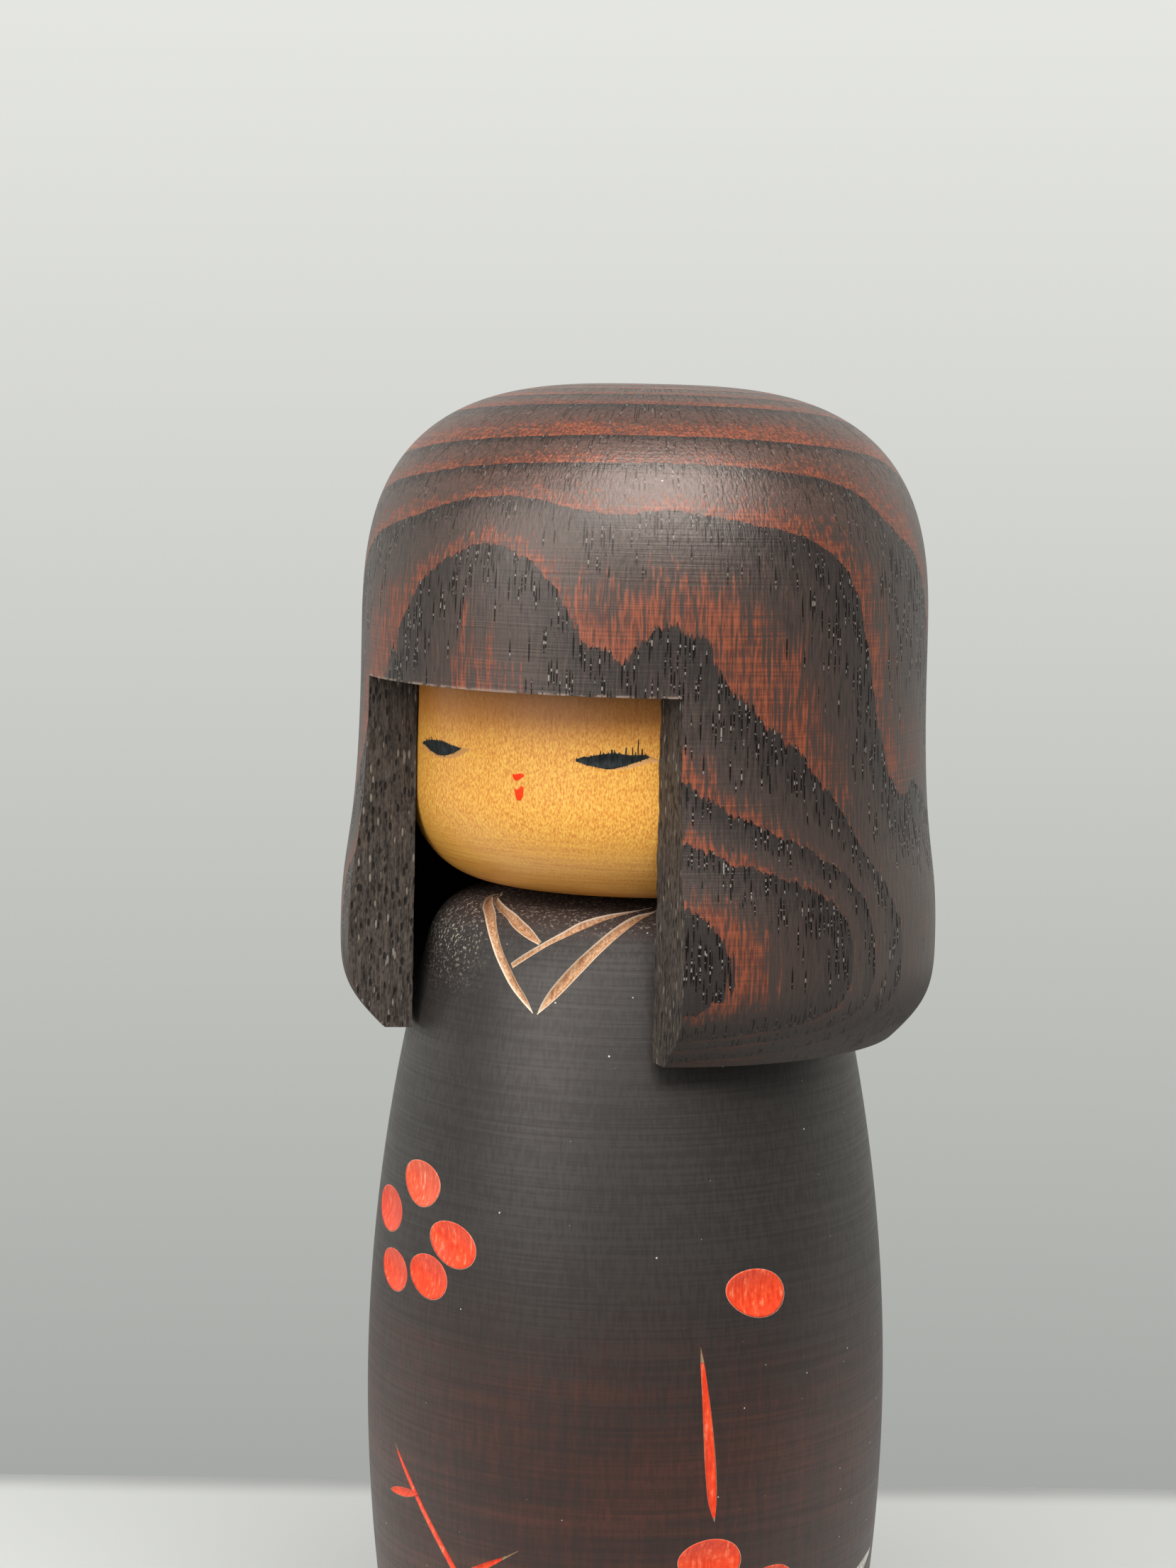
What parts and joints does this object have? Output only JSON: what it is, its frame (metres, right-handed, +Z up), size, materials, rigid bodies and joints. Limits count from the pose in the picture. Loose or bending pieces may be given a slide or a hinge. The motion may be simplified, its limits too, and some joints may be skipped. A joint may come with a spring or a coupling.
{
  "type": "kokeshi doll",
  "caption": "Turned wooden doll with a barrel body, a pale face block and a bob-shaped hair cap, whose head turns on a neck dowel.",
  "frame": {"origin": "centre of the flat base that the doll stands on", "axes": "+Z up, the front of the body towards -Y, the doll's own left towards +X"},
  "size_m": [0.0992, 0.0962, 0.2403],
  "materials": {
    "stained_body_wood": "near-black stain under a satin varnish",
    "dowel_wood": "bare wood",
    "pale_face_wood": "satin varnish on pale wood",
    "stained_hair_wood": "dark red-brown stain under a satin varnish"
  },
  "bodies": {
    "base_body": {"turned_body": "stained_body_wood", "neck_dowel": "dowel_wood"},
    "head": {"face_block": "pale_face_wood", "hair_cap": "stained_hair_wood"}
  },
  "joints": [
    {"name": "head_turn", "type": "hinge", "parent": "base_body", "child": "head", "pos_m": [0.00128, 0.00058, 0.1582], "axis": [0.0111, 0.005, 0.9999], "continuous": true}
  ]
}
